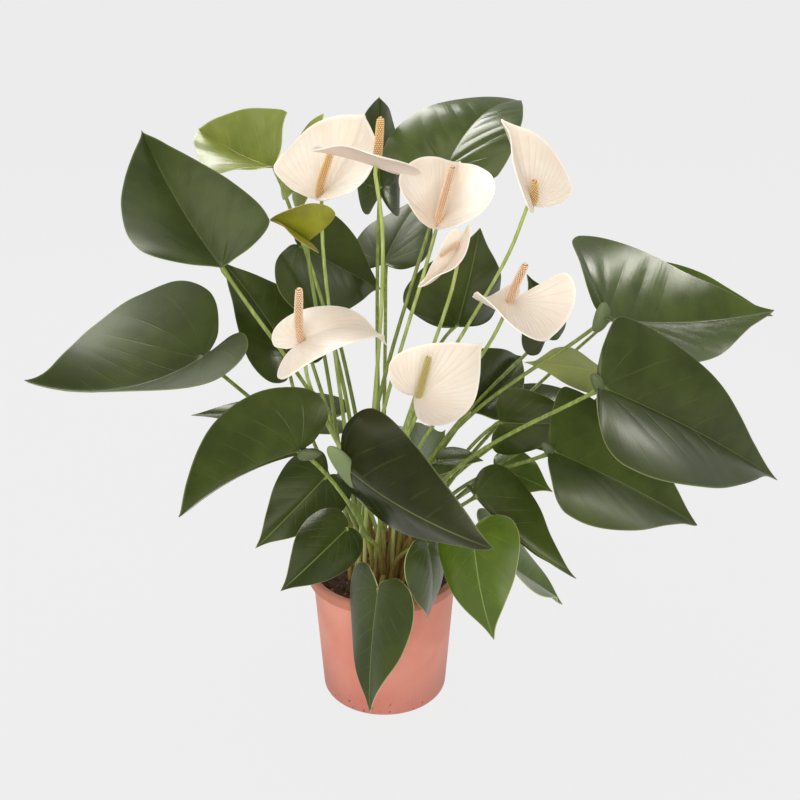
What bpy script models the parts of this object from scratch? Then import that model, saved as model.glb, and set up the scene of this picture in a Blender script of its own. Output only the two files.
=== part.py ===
"""White anthurium in a 17 cm nursery pot: pot, soil, heart-shaped leaves and blooms.

Metres, +Z up. The origin is the middle of the pot's underside, and -Y is the plant's front.
"""
import math
import random
from collections import namedtuple

import bmesh
import bpy
from mathutils import Vector
from mathutils.bvhtree import BVHTree
from mathutils.geometry import interpolate_bezier, intersect_point_line

# Pot
POT_HEIGHT = 0.155
POT_RIM_RADIUS = 0.085
POT_LIP_HEIGHT = 0.011
POT_WALL = 0.0020
POT_TOP_RADIUS = 0.0790
POT_BASE_RADIUS = 0.0700
POT_CORNER = 0.0080
POT_FLOOR = 0.0028
POT_SEGMENTS = 40
DRAIN_COUNT = 5
DRAIN_SIDES = 8
DRAIN_RADIUS = 0.0045
DRAIN_RING_RADIUS = 0.045

# Soil
SOIL_TOP = 0.139
SOIL_ROUGHNESS = 0.0022
SOIL_RINGS = 5
SOIL_SECTORS = 22
CLEARANCE = 0.0003

# Stems: where they stand in the soil, and their thickness
SPOT_SPACING = 0.0062
HOLE_DEPTH = 0.024
STEM_SIDES = 5
PETIOLE_ROOT_RADIUS = 0.0027
PETIOLE_TOP_RADIUS = 0.0021
STALK_ROOT_RADIUS = 0.0025
STALK_TOP_RADIUS = 0.0020
STEM_STEPS = 6
SOCKET_DEPTH = 0.0015
STALK_TIP = 0.003
STEM_COLLAR = 0.006
STEM_GAP = 0.0008
STEM_SAMPLES = 8
SWAY_STEP = 0.008
SWAY_STEPS = 9
SWAY_WAYS = 10
# How far a stem rises before it leans, and how early it turns to its blade, as shares of its span
STEM_HABITS = ((0.38, 0.22), (0.28, 0.22), (0.50, 0.22), (0.38, 0.34), (0.30, 0.12))

# Blades
LEAF_THICKNESS = 0.0009
LARGE_LEAF = 0.06
SPATHE_THICKNESS = 0.0011
BLADE_ARCH = 30
MIDRIB_EASE = 0.3
SEAT_RADIUS = 0.0060
NOTCH_REACH = 0.0040
SKYWARD = Vector((0.0, -0.5, 0.87)).normalized()

# Spadix
SPADIX_BASE_RADIUS = 0.0043
SPADIX_TIP_RADIUS = 0.0033
SPADIX_COLUMNS = 9
SPADIX_ROWS = 12
FLORET_RELIEF = 0.0005

# A straight thin piece that stems keep clear of
Rod = namedtuple("Rod", "owner start end radius")

# Half of a blade's outline, tip to notch: along the midrib in lengths, across in half widths
LEAF_OUTLINE = [(1.00, 0.00), (0.87, 0.14), (0.66, 0.47), (0.42, 0.80), (0.12, 0.99),
                (-0.11, 0.85), (-0.18, 0.48), (-0.11, 0.14), (-0.03, 0.00)]
SPATHE_OUTLINE = [(1.00, 0.00), (0.90, 0.18), (0.70, 0.57), (0.44, 0.87), (0.12, 1.00),
                  (-0.15, 0.86), (-0.26, 0.48), (-0.17, 0.15), (-0.08, 0.00)]

# A blade: where its stem meets it, its tip, half its width, its roll about the midrib (degrees,
# from facing the sky and a little forwards), the midrib's bend, the fold of its halves, how far
# the lobes reach back, how full it is towards the tip, by what share its left half is larger
# than the right, and its shade of green
Leaf = namedtuple("Leaf", "name joint tip half_width roll bend fold lobe full skew shade")
LEAVES = [
    Leaf("upper_left", (-0.155, -0.05, 0.52), (-0.25, 0.09, 0.62),
         0.08, -5, -35, 45, 0.4, 0.65, 0.15, "dark"),
    Leaf("far_left", (-0.18, -0.05, 0.425), (-0.33, -0.145, 0.44),
         0.11, -25, -55, 30, 1.5, 0.15, -0.15, "dark"),
    Leaf("behind_upper_left", (-0.105, 0.07, 0.38), (-0.18, 0.12, 0.47),
         0.055, -15, 25, 25, 1.0, 0.0, 0.0, "dark"),
    Leaf("lower_left", (-0.08, -0.13, 0.36), (-0.18, -0.225, 0.34),
         0.057, 85, -35, -30, 1.1, 0.7, -0.2, "dark"),
    Leaf("behind_lower_left", (-0.07, 0.13, 0.275), (-0.225, 0.125, 0.28),
         0.057, -30, 10, 20, 1.0, 0.0, 0.0, "dark"),
    Leaf("middle_left", (-0.09, 0.095, 0.495), (-0.005, 0.155, 0.425),
         0.064, -40, 5, 35, 1.1, 0.15, -0.25, "dark"),
    Leaf("young_folded", (-0.075, 0.0, 0.53), (-0.11, -0.01, 0.555),
         0.039, 15, 25, 65, 0.3, 0.7, -0.1, "young"),
    Leaf("lime_top", (-0.115, 0.1, 0.58), (-0.21, 0.215, 0.595),
         0.062, 15, -30, 50, 0.3, 1.0, 0.0, "young"),
    Leaf("lime_behind", (-0.1, 0.14, 0.545), (-0.065, 0.155, 0.625),
         0.037, 35, 25, 10, 1.0, 0.6, 0.0, "young"),
    Leaf("top_centre", (-0.005, 0.175, 0.54), (-0.005, 0.165, 0.64),
         0.038, -5, -80, -35, 1.4, 0.45, -0.05, "dark"),
    Leaf("back_top", (0.065, 0.1, 0.58), (0.155, 0.235, 0.62), 0.075, 15, 60, 15, 0.4, 0.2, 0.1, "dark"),
    Leaf("back_centre", (0.0, 0.165, 0.455), (0.045, 0.25, 0.505),
         0.057, 25, 25, 15, 0.6, 0.3, 0.0, "dark"),
    Leaf("centre_back", (0.08, 0.08, 0.41), (0.1, 0.045, 0.53),
         0.062, -40, 15, -15, 0.4, 0.25, 0.1, "dark"),
    Leaf("right_upper", (0.225, -0.03, 0.46), (0.44, 0.13, 0.41), 0.09, -5, -25, 30, 0.6, 0.1, 0.1, "dark"),
    Leaf("right_big", (0.205, -0.15, 0.435), (0.4, -0.075, 0.3),
         0.088, -10, 15, 35, 0.4, 0.05, -0.15, "dark"),
    Leaf("right_hidden", (0.305, 0.23, 0.395), (0.47, 0.23, 0.365),
         0.045, -25, 20, 10, 1.0, 0.0, 0.0, "dark"),
    Leaf("right_middle", (0.17, -0.09, 0.34), (0.33, -0.06, 0.24),
         0.087, 5, 10, 30, 0.4, 0.1, -0.1, "dark"),
    Leaf("right_inner", (0.125, -0.01, 0.335), (0.22, 0.005, 0.33),
         0.043, -70, 20, 10, 0.5, 0.0, 0.0, "dark"),
    Leaf("inner_right", (0.095, 0.06, 0.32), (0.16, 0.165, 0.34), 0.05, -20, 10, 50, 0.45, 0.4, 0.1, "mid"),
    Leaf("pale_folded", (0.235, 0.04, 0.37), (0.145, -0.015, 0.405),
         0.036, -160, -20, 50, 0.65, 0.0, 0.3, "young"),
    Leaf("behind_bloom", (0.18, 0.1, 0.39), (0.155, 0.09, 0.465), 0.034, 0, 20, 10, 1.0, 0.0, 0.0, "dark"),
    Leaf("front_centre", (-0.035, -0.17, 0.365), (0.1, -0.27, 0.335),
         0.055, -65, 35, -10, 0.45, 0.5, 0.2, "dark"),
    Leaf("low_left", (-0.06, -0.06, 0.295), (-0.13, -0.1, 0.235), 0.04, 35, 20, 0, 1.0, 0.0, 0.0, "dark"),
    Leaf("low_left_front", (-0.035, -0.14, 0.28), (-0.095, -0.205, 0.25),
         0.04, 30, 25, -20, 0.9, 0.1, 0.0, "dark"),
    Leaf("front_hanging", (-0.005, -0.115, 0.195), (-0.015, -0.14, 0.06),
         0.052, -45, 10, 5, 0.8, 0.0, 0.0, "mid"),
    Leaf("front_small", (0.045, -0.1, 0.24), (0.045, -0.085, 0.135),
         0.045, 65, 30, 5, 0.9, 0.0, 0.0, "mid"),
    Leaf("front_bright", (0.09, -0.13, 0.27), (0.11, -0.175, 0.175),
         0.049, -40, 30, 5, 0.8, 0.1, 0.0, "bright"),
    Leaf("low_right", (0.095, -0.09, 0.29), (0.195, -0.125, 0.215),
         0.051, -65, 35, -45, 0.85, 0.0, 0.0, "dark"),
    Leaf("low_right_behind", (0.115, -0.06, 0.205), (0.2, -0.01, 0.11),
         0.062, 25, 0, 30, 0.9, 0.0, 0.0, "bright"),
    Leaf("edge_on", (0.06, -0.01, 0.29), (0.105, -0.03, 0.3), 0.022, 10, 20, 10, 1.0, 0.0, 0.0, "mid"),
    Leaf("inner_green", (0.05, 0.05, 0.25), (0.07, 0.13, 0.26),
         0.042, -45, -20, 25, 0.85, -0.2, 0.3, "bright"),
    Leaf("pale_striped", (0.125, 0.02, 0.265), (0.18, -0.025, 0.26),
         0.033, -5, 20, 10, 1.2, 0.0, 0.0, "bright"),
    Leaf("back_low", (0.01, 0.15, 0.24), (0.03, 0.27, 0.19), 0.055, 10, 35, 10, 1.0, 0.0, 0.0, "dark"),
    Leaf("back_right", (0.18, 0.17, 0.26), (0.3, 0.26, 0.19), 0.05, -10, 35, 10, 1.0, 0.0, 0.0, "dark"),
]

# A bloom: its spathe, as a blade, and the tip of its spadix
Bloom = namedtuple("Bloom", "name joint tip half_width roll bend fold lobe full skew spadix_tip")
BLOOMS = [
    Bloom("top_left", (-0.065, 0.06, 0.56), (-0.02, 0.1, 0.635),
          0.075, 20, -35, 40, 0.65, 1.0, -0.15, (-0.05, 0.04, 0.615)),
    Bloom("edge", (-0.005, -0.06, 0.62), (-0.065, -0.08, 0.64),
          0.046, -45, 10, 20, 1.95, 0.0, 0.05, (0.0, -0.045, 0.665)),
    Bloom("top_middle", (0.055, 0.01, 0.545), (0.08, 0.085, 0.59),
          0.068, -5, -5, 60, 0.95, -0.2, -0.05, (0.07, 0.0, 0.61)),
    Bloom("top_right", (0.15, 0.03, 0.56), (0.12, 0.055, 0.64),
          0.051, -35, 5, 40, 0.4, 0.05, -0.05, (0.15, 0.01, 0.59)),
    Bloom("left", (-0.075, -0.11, 0.465), (0.005, -0.08, 0.45),
          0.054, 25, 80, 25, 1.15, -0.5, -0.2, (-0.075, -0.12, 0.525)),
    Bloom("front", (0.035, -0.12, 0.415), (0.095, -0.1, 0.46),
          0.048, -55, 50, 5, 0.75, -0.4, -0.05, (0.045, -0.14, 0.465)),
    Bloom("right", (0.125, -0.04, 0.48), (0.09, -0.085, 0.505),
          0.042, -10, -65, 5, 2.4, 0.0, 0.45, (0.14, -0.05, 0.525)),
    Bloom("young", (0.075, -0.03, 0.535), (0.035, -0.08, 0.51),
          0.021, -10, -75, 55, 1.0, -0.05, 0.25, (0.055, -0.055, 0.53)),
]

SHADES = {
    "dark": (0.030, 0.062, 0.022),
    "mid": (0.055, 0.110, 0.030),
    "bright": (0.130, 0.230, 0.050),
    "young": (0.330, 0.440, 0.110),
}


def clear_scene():
    for thing in list(bpy.data.objects):
        bpy.data.objects.remove(thing, do_unlink=True)


def new_material(name, colour, roughness, metallic=0.0):
    material = bpy.data.materials.new(name)
    material.use_nodes = True
    shader = material.node_tree.nodes["Principled BSDF"]
    shader.inputs["Base Color"].default_value = (*colour, 1.0)
    shader.inputs["Roughness"].default_value = roughness
    shader.inputs["Metallic"].default_value = metallic
    return material


def new_object(name, bm, material, smooth_angle=40):
    mesh = bpy.data.meshes.new(name)
    bm.to_mesh(mesh)
    bm.free()
    mesh.materials.append(material)
    mesh.shade_smooth()
    mesh.set_sharp_from_angle(angle=math.radians(smooth_angle))
    thing = bpy.data.objects.new(name, mesh)
    bpy.context.collection.objects.link(thing)
    return thing


def boolean(thing, other, operation, solver="EXACT"):
    """Joins or cuts with another object, applies the result and removes the other."""
    modifier = thing.modifiers.new(operation.lower(), "BOOLEAN")
    modifier.operation = operation
    modifier.solver = solver
    modifier.object = other
    bpy.context.view_layer.update()
    graph = bpy.context.evaluated_depsgraph_get()
    result = bpy.data.meshes.new_from_object(thing.evaluated_get(graph))
    thing.modifiers.remove(modifier)
    thing.data = result
    bpy.data.objects.remove(other, do_unlink=True)


def ring_faces(bm, lower, upper):
    """Joins two rings of as many points with triangles, all split the same way."""
    count = len(lower)
    for i in range(count):
        j = (i + 1) % count
        bm.faces.new((lower[i], lower[j], upper[j]))
        bm.faces.new((lower[i], upper[j], upper[i]))


def fan_faces(bm, ring, centre, outward=True):
    count = len(ring)
    for i in range(count):
        j = (i + 1) % count
        corners = (ring[i], ring[j], centre) if outward else (ring[j], ring[i], centre)
        bm.faces.new(corners)


def bridge_faces(bm, outer, inner, angle):
    """Joins a ring of many points to a ring of few inside it, in step with their angles."""
    first = min(range(len(inner)), key=lambda k: abs(angle(inner[k])))
    inner = inner[first:] + inner[:first]
    full = 2 * math.pi
    outer_turns = [angle(vertex) % full for vertex in outer] + [full]
    start = angle(inner[0])
    inner_turns = [start + (angle(vertex) - start) % full for vertex in inner] + [start + full]
    i = j = 0
    while i < len(outer) or j < len(inner):
        if j == len(inner) or (i < len(outer) and outer_turns[i + 1] <= inner_turns[j + 1]):
            bm.faces.new((inner[j % len(inner)], outer[(i + 1) % len(outer)], outer[i]))
            i += 1
        else:
            bm.faces.new((inner[j], inner[(j + 1) % len(inner)], outer[i % len(outer)]))
            j += 1


def tube(bm, path, radii, sides, open_end=False):
    """A closed tube of flat-sided rings along a path; returns its rings."""
    across = Vector((1.0, 0.0, 0.0))
    rings = []
    for i, point in enumerate(path):
        before = path[max(i - 1, 0)]
        after = path[min(i + 1, len(path) - 1)]
        forward = (after - before).normalized()
        across = (across - forward * across.dot(forward)).normalized()
        third = forward.cross(across)
        turns = [2 * math.pi * k / sides for k in range(sides)]
        rings.append([bm.verts.new(point + radii[i] * (across * math.cos(a) + third * math.sin(a)))
                      for a in turns])
    for lower, upper in zip(rings, rings[1:]):
        ring_faces(bm, lower, upper)
    bm.faces.new(rings[0][::-1])
    if not open_end:
        bm.faces.new(rings[-1])
    return rings


def blade_frame(blade):
    """Unit vectors along the midrib, across to the left, and up from the blade's face."""
    along = (Vector(blade.tip) - Vector(blade.joint)).normalized()
    up = (SKYWARD - along * SKYWARD.dot(along)).normalized()
    side = up.cross(along)
    turn = math.radians(blade.roll)
    return along, side * math.cos(turn) - up * math.sin(turn), up * math.cos(turn) + side * math.sin(turn)


def larger_half(blade, v):
    """The scale of the blade's half at v, eased over the midrib."""
    return 1 + blade.skew * max(-1.0, min(1.0, v / MIDRIB_EASE))


def blade_outline(blade):
    """The closed outline, drawn out or in towards the tip by the blade's fullness."""
    half = SPATHE_OUTLINE if blade in BLOOMS else LEAF_OUTLINE
    half = [(u, v ** (1 - blade.full / 2) if u > 0 and v > 0 else v) for u, v in half]
    return half + [(u, -v) for u, v in reversed(half[1:-1])]


def blade_point(blade, u, v):
    """A point of the blade's middle surface, u lengths along and v half widths across."""
    along, side, up = blade_frame(blade)
    chord = (Vector(blade.tip) - Vector(blade.joint)).length
    bend = math.radians(blade.bend if abs(blade.bend) > 0.5 else 0.5)
    length = chord * (bend / 2) / math.sin(bend / 2)
    u = u * blade.lobe * larger_half(blade, v) if u < 0 else u
    tilt = bend / 2 - bend * u
    forward = length / bend * (math.sin(bend / 2) - math.sin(tilt))
    rise = length / bend * (math.cos(tilt) - math.cos(bend / 2))
    fold, arch = math.radians(blade.fold), math.radians(BLADE_ARCH)
    reach = blade.half_width * larger_half(blade, v) / arch
    across = math.copysign(reach * (math.sin(fold) - math.sin(fold - arch * abs(v))), v)
    lift = reach * (math.cos(fold - arch * abs(v)) - math.cos(fold))
    forward -= math.sin(tilt) * lift
    rise += math.cos(tilt) * lift
    return Vector(blade.joint) + along * forward + side * across + up * rise


def blade_normal(blade, u, v):
    step = 0.02
    ahead = blade_point(blade, u + step, v) - blade_point(blade, u - step, v)
    aside = blade_point(blade, u, v + step) - blade_point(blade, u, v - step)
    return ahead.cross(aside).normalized()


def joint_normal(blade):
    """The way the blade's face looks where its stem meets it."""
    along, _, up = blade_frame(blade)
    tilt = math.radians(blade.bend) / 2
    return (up * math.cos(tilt) - along * math.sin(tilt)).normalized()


def ring_points(blade, outline, share, least):
    """The outline drawn in to a share of its size, but no nearer the joint than given."""
    length = (Vector(blade.tip) - Vector(blade.joint)).length
    points = []
    for u, v in outline:
        reach = math.hypot(u * length * (blade.lobe if u < 0 else 1.0), v * blade.half_width)
        stretch = max(share, least / reach)
        points.append((u * stretch, v * stretch))
    return points


def blade_body(bm, blade, thickness, seat_radius=0.0, socket=None):
    """A thin closed blade, as a fan of rings around its joint, alike on both faces.

    With a seat, it is flat around the joint. With a socket, the ring of a stem's open end, the
    stem grows out of its underside.
    """
    outline = blade_outline(blade)
    joint = Vector(blade.joint)
    normal = joint_normal(blade)
    side = blade_frame(blade)[1]
    ahead = side.cross(normal)
    length = (joint - Vector(blade.tip)).length
    least = max(seat_radius, NOTCH_REACH)
    faces = []
    for offset in (thickness / 2, -thickness / 2):
        layers = []
        if seat_radius:
            ways = [Vector((u * length, v * blade.half_width)).normalized() for u, v in outline]
            seat = [joint + (ahead * way.x + side * way.y) * seat_radius for way in ways]
            layers.append([bm.verts.new(point + normal * offset) for point in seat])
        for k, share in enumerate(blade_rings(blade), start=1):
            layers.append([bm.verts.new(blade_point(blade, u, v) + blade_normal(blade, u, v) * offset)
                           for u, v in ring_points(blade, outline, share, least * (1 + 0.25 * k))])
        faces.append(layers)
    for layers, outward in zip(faces, (True, False)):
        if outward or not socket:
            centre = joint + normal * (thickness / 2 if outward else -thickness / 2)
            fan_faces(bm, layers[0], bm.verts.new(centre), outward)
        else:
            def angle(vertex):
                reach = vertex.co - joint
                return math.atan2(reach.dot(side), reach.dot(ahead))
            bridge_faces(bm, layers[0], socket, angle)
        for inner, outer in zip(layers, layers[1:]):
            for i in range(len(inner)):
                j = (i + 1) % len(inner)
                for corners in ((outer[i], outer[j], inner[j]), (outer[i], inner[j], inner[i])):
                    bm.faces.new(corners if outward else corners[::-1])
    ring_faces(bm, faces[1][-1], faces[0][-1])


def blade_rings(blade):
    """The shares of its outline at which a blade has its rings of corners."""
    return (0.35, 0.7, 1.0) if blade in LEAVES and blade.half_width > LARGE_LEAF else (0.5, 1.0)


def blade_shell(blade):
    """The blade's middle surface as corners and triangles."""
    outline = blade_outline(blade)
    least = SEAT_RADIUS if blade in BLOOMS else NOTCH_REACH
    count = len(outline)
    corners = [Vector(blade.joint)]
    triangles = [(0, i + 1, (i + 1) % count + 1) for i in range(count)]
    for k, share in enumerate(blade_rings(blade), start=1):
        ring = ring_points(blade, outline, share, least * (1 + 0.25 * k))
        corners += [blade_point(blade, u, v) for u, v in ring]
        inner, outer = (k - 2) * count + 1, (k - 1) * count + 1
        for i in range(count if k > 1 else 0):
            j = (i + 1) % count
            triangles += [(inner + i, outer + i, outer + j), (inner + i, outer + j, inner + j)]
    return corners, triangles


def lean(stem):
    """How far a stem leans out for its height above the soil."""
    x, y, z = stem.joint
    return math.hypot(x, y) / (z - SOIL_TOP)


def stem_spots():
    """Where each stem stands in the soil: a seed-head pattern, leaning stems outermost."""
    stems = LEAVES + BLOOMS
    golden = math.radians(137.5)
    free = [SPOT_SPACING * math.sqrt(k + 0.5) * Vector((math.cos(golden * k), math.sin(golden * k)))
            for k in range(len(stems))]
    crown = free[-1].length
    furthest = lean(max(stems, key=lean))
    spots = {}
    for stem in sorted(stems, key=lean, reverse=True):
        aim = Vector(stem.joint[:2]).normalized() * crown * math.sqrt(lean(stem) / furthest)
        spot = min(free, key=lambda place: (place - aim).length)
        free.remove(spot)
        spots[stem.name] = spot
    return spots


def stem_end(stem):
    """Where the curved part of a stem ends, just under the blade."""
    depth = LEAF_THICKNESS / 2 + SOCKET_DEPTH
    if stem in BLOOMS:
        depth = SPATHE_THICKNESS / 2 + CLEARANCE + STALK_TIP
    return Vector(stem.joint) - joint_normal(stem) * depth


def stem_path(stem, spot, sway, rise, turn):
    """From the foot of the hole straight up out of the soil, then in one curve to the blade."""
    normal = joint_normal(stem)
    end = stem_end(stem)
    bottom = Vector((spot.x, spot.y, SOIL_TOP - HOLE_DEPTH + CLEARANCE))
    collar = Vector((spot.x, spot.y, SOIL_TOP + STEM_COLLAR))
    span = (end - collar).length
    arrival = (end - collar).normalized() + blade_frame(stem)[0] * 0.3
    arrival += normal * max(0.0, 0.6 - arrival.dot(normal))
    rising = collar + Vector((0.0, 0.0, span * rise)) + sway
    before = end - arrival.normalized() * span * turn + sway * 0.6
    return [bottom] + interpolate_bezier(collar, rising, before, end, STEM_STEPS + 1)


def stem_courses():
    """The sways and habits that a stem may take, the straightest first."""
    courses = []
    for k in range(SWAY_STEPS):
        turns = [2 * math.pi * (way + k / 2) / SWAY_WAYS for way in range(SWAY_WAYS if k else 1)]
        sways = [SWAY_STEP * k * Vector((math.cos(a), math.sin(a), 0.0)) for a in turns]
        courses += [(sway, rise, turn) for rise, turn in STEM_HABITS for sway in sways]
    return courses


def stem_paths(spots):
    """Each stem's path: the straightest that passes clear of blades, spadices and other stems."""
    corners, triangles, owners = [], [], []
    for stem in LEAVES + BLOOMS:
        points, faces = blade_shell(stem)
        triangles += [[corner + len(corners) for corner in face] for face in faces]
        owners += [stem.name] * len(faces)
        corners += points
    blades = BVHTree.FromPolygons(corners, triangles)
    rods = [Rod(bloom.name, Vector(bloom.joint), Vector(bloom.spadix_tip), SEAT_RADIUS)
            for bloom in BLOOMS]
    paths = {}
    for stem in sorted(LEAVES + BLOOMS, key=lambda stem: stem.joint[2], reverse=True):
        most_room = -1.0
        for course in stem_courses():
            path = stem_path(stem, spots[stem.name], *course)
            room = stem_room(stem.name, path, blades, owners, rods)
            if room > most_room:
                most_room = room
                paths[stem.name] = path
            if room > 0:
                break
        path = paths[stem.name]
        rods += [Rod(stem.name, start, end, PETIOLE_ROOT_RADIUS) for start, end in zip(path[1:], path[2:])]
    return paths


def stem_room(name, path, blades, owners, rods):
    """How far a stem's surface stays from everything else, less the gap it should keep."""
    room = 1.0
    spare = PETIOLE_ROOT_RADIUS + STEM_GAP
    others = [rod for rod in rods if rod.owner != name]
    for start, stop in zip(path[1:], path[2:]):
        for k in range(STEM_SAMPLES):
            point = start.lerp(stop, k / STEM_SAMPLES)
            arriving = (point - path[-1]).length < 2 * NOTCH_REACH
            for _, _, index, distance in blades.find_nearest_range(point, 4 * spare):
                if owners[index] != name or not arriving:
                    room = min(room, distance - spare - SPATHE_THICKNESS / 2)
            if point.xy.length > POT_TOP_RADIUS - POT_WALL - spare:
                room = min(room, point.z - POT_HEIGHT - spare)
            for rod in others:
                share = intersect_point_line(point, rod.start, rod.end)[1]
                nearest = rod.start.lerp(rod.end, min(1.0, max(0.0, share)))
                room = min(room, (point - nearest).length - rod.radius - spare)
            if room < -spare:
                return room
    return room


def stem_radii(path, root, top):
    last = len(path) - 1
    return [root if i < 2 else root + (top - root) * (i - 1) / (last - 1) for i in range(last + 1)]


def build_leaf(leaf, path):
    bm = bmesh.new()
    socket = tube(bm, path, stem_radii(path, PETIOLE_ROOT_RADIUS, PETIOLE_TOP_RADIUS), STEM_SIDES, True)[-1]
    flatten(socket, path[-1], joint_normal(leaf))
    blade_body(bm, leaf, LEAF_THICKNESS, socket=socket)
    name = "leaf_" + leaf.name
    new_object(name, bm, new_material(name, SHADES[leaf.shade], 0.32))


def build_stalk(bloom, path):
    normal = joint_normal(bloom)
    end = Vector(bloom.joint) - normal * (SPATHE_THICKNESS / 2 + CLEARANCE)
    path = path + [end]
    bm = bmesh.new()
    rings = tube(bm, path, stem_radii(path, STALK_ROOT_RADIUS, STALK_TOP_RADIUS), STEM_SIDES)
    flatten(rings[-1], end, normal)
    name = "bloom_" + bloom.name + "_stalk"
    new_object(name, bm, new_material(name, (0.20, 0.28, 0.07), 0.4))


def flatten(ring, point, normal):
    """Brings a ring's points onto the plane through a point."""
    for vertex in ring:
        vertex.co -= normal * (vertex.co - point).dot(normal)


def build_spathe(bloom):
    bm = bmesh.new()
    blade_body(bm, bloom, SPATHE_THICKNESS, SEAT_RADIUS)
    name = "bloom_" + bloom.name + "_spathe"
    new_object(name, bm, new_material(name, (0.83, 0.76, 0.66), 0.45))


def build_spadix(bloom):
    normal = joint_normal(bloom)
    base = Vector(bloom.joint) + normal * (SPATHE_THICKNESS / 2 + CLEARANCE)
    tip = Vector(bloom.spadix_tip)
    way = (tip - base).normalized()
    length = (tip - base).length
    path = interpolate_bezier(base, base + normal * length * 0.35, tip - way * length * 0.35, tip,
                              SPADIX_ROWS)
    bm = bmesh.new()
    radii = []
    for i in range(SPADIX_ROWS):
        share = i / (SPADIX_ROWS - 1)
        taper = SPADIX_BASE_RADIUS + (SPADIX_TIP_RADIUS - SPADIX_BASE_RADIUS) * share
        rounding = {0: 0.85, SPADIX_ROWS - 2: 0.9, SPADIX_ROWS - 1: 0.55}
        radii.append(taper * rounding.get(i, 1.0))
    rings = tube(bm, path, radii, SPADIX_COLUMNS)
    for row, ring in enumerate(rings[1:-1], start=1):
        for column, vertex in enumerate(ring):
            if (row + column) % 2:
                vertex.co += (vertex.co - path[row]).normalized() * FLORET_RELIEF
    flatten(rings[0], base, normal)
    name = "bloom_" + bloom.name + "_spadix"
    new_object(name, bm, new_material(name, (0.85, 0.52, 0.32), 0.6))


def turned(profile, segments):
    """A closed body turned about Z from a profile that starts and ends on the axis."""
    bm = bmesh.new()
    rings = []
    for radius, height in profile[1:-1]:
        turns = [2 * math.pi * k / segments for k in range(segments)]
        rings.append([bm.verts.new((radius * math.cos(a), radius * math.sin(a), height)) for a in turns])
    for lower, upper in zip(rings, rings[1:]):
        ring_faces(bm, lower, upper)
    fan_faces(bm, rings[0], bm.verts.new((0, 0, profile[0][1])), outward=False)
    fan_faces(bm, rings[-1], bm.verts.new((0, 0, profile[-1][1])))
    return bm


def pot_profile():
    """From the middle of the underside, round the outside and back down to the floor inside."""
    rim, top, wall = POT_RIM_RADIUS, POT_TOP_RADIUS, POT_WALL
    lip_base = POT_HEIGHT - POT_LIP_HEIGHT
    points = [(0.0, 0.0)]
    for turn in (math.radians(30 * k) for k in range(4)):
        radius = POT_BASE_RADIUS - POT_CORNER * (1 - math.sin(turn))
        points.append((radius, POT_CORNER * (1 - math.cos(turn))))
    points += [(top, lip_base - 0.001), (rim - 0.001, lip_base), (rim, lip_base + 0.0015),
               (rim, POT_HEIGHT - 0.002), (rim - 0.0015, POT_HEIGHT),
               (top - 0.0005, POT_HEIGHT), (top - wall, POT_HEIGHT - 0.0015)]
    points += [(inner_radius(POT_CORNER), POT_CORNER), (inner_radius(0.0) - POT_CORNER * 0.6, POT_FLOOR),
               (0.0, POT_FLOOR)]
    return points


def inner_radius(height):
    """The pot's inner wall runs straight from the floor's corner to the rim."""
    share = height / (POT_HEIGHT - 0.0015)
    return POT_BASE_RADIUS - POT_WALL + (POT_TOP_RADIUS - POT_BASE_RADIUS) * share


def build_pot():
    plastic = new_material("pot", (0.72, 0.27, 0.20), 0.4)
    pot = new_object("pot", turned(pot_profile(), POT_SEGMENTS), plastic)
    for k in range(DRAIN_COUNT):
        turn = 2 * math.pi * k / DRAIN_COUNT
        bm = bmesh.new()
        bmesh.ops.create_cone(bm, cap_ends=True, segments=DRAIN_SIDES, radius1=DRAIN_RADIUS,
                              radius2=DRAIN_RADIUS, depth=4 * POT_FLOOR)
        hole = new_object("drain", bm, plastic)
        hole.location = (DRAIN_RING_RADIUS * math.cos(turn), DRAIN_RING_RADIUS * math.sin(turn), 0.0)
        boolean(pot, hole, "DIFFERENCE")


def build_soil(spots):
    """A plug that fills the pot, with a rough top and a plain hole for each stem."""
    dice = random.Random(11)
    floor = POT_FLOOR + CLEARANCE
    edge = inner_radius(SOIL_TOP) - 2 * CLEARANCE
    profile = [(0.0, floor), (inner_radius(0.0) - POT_CORNER * 0.6 - 2 * CLEARANCE, floor),
               (inner_radius(POT_CORNER) - 2 * CLEARANCE, POT_CORNER)]
    profile += [(edge * (1 - k / SOIL_RINGS), SOIL_TOP) for k in range(SOIL_RINGS)]
    bm = turned(profile + [(0.0, SOIL_TOP)], SOIL_SECTORS)
    for vertex in bm.verts:
        if vertex.co.z > SOIL_TOP - 0.001 and vertex.co.xy.length < edge * 0.95:
            vertex.co.z += dice.uniform(-SOIL_ROUGHNESS, SOIL_ROUGHNESS)
    soil = new_object("soil", bm, new_material("soil", (0.045, 0.026, 0.018), 0.95), 80)
    bm = bmesh.new()
    for stem in LEAVES + BLOOMS:
        spot = spots[stem.name]
        root = STALK_ROOT_RADIUS if stem in BLOOMS else PETIOLE_ROOT_RADIUS
        radius = root + CLEARANCE / math.cos(math.pi / STEM_SIDES)
        bottom = Vector((spot.x, spot.y, SOIL_TOP - HOLE_DEPTH))
        tube(bm, [bottom, bottom + Vector((0, 0, HOLE_DEPTH + 0.01))], [radius, radius], STEM_SIDES)
    boolean(soil, new_object("holes", bm, soil.data.materials[0]), "DIFFERENCE")


def main():
    clear_scene()
    spots = stem_spots()
    build_pot()
    build_soil(spots)
    paths = stem_paths(spots)
    for leaf in LEAVES:
        build_leaf(leaf, paths[leaf.name])
    for bloom in BLOOMS:
        build_stalk(bloom, paths[bloom.name])
        build_spathe(bloom)
        build_spadix(bloom)


main()
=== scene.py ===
import math
import random

import bmesh
import bpy
import numpy as np
from mathutils import Matrix, Vector


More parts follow.
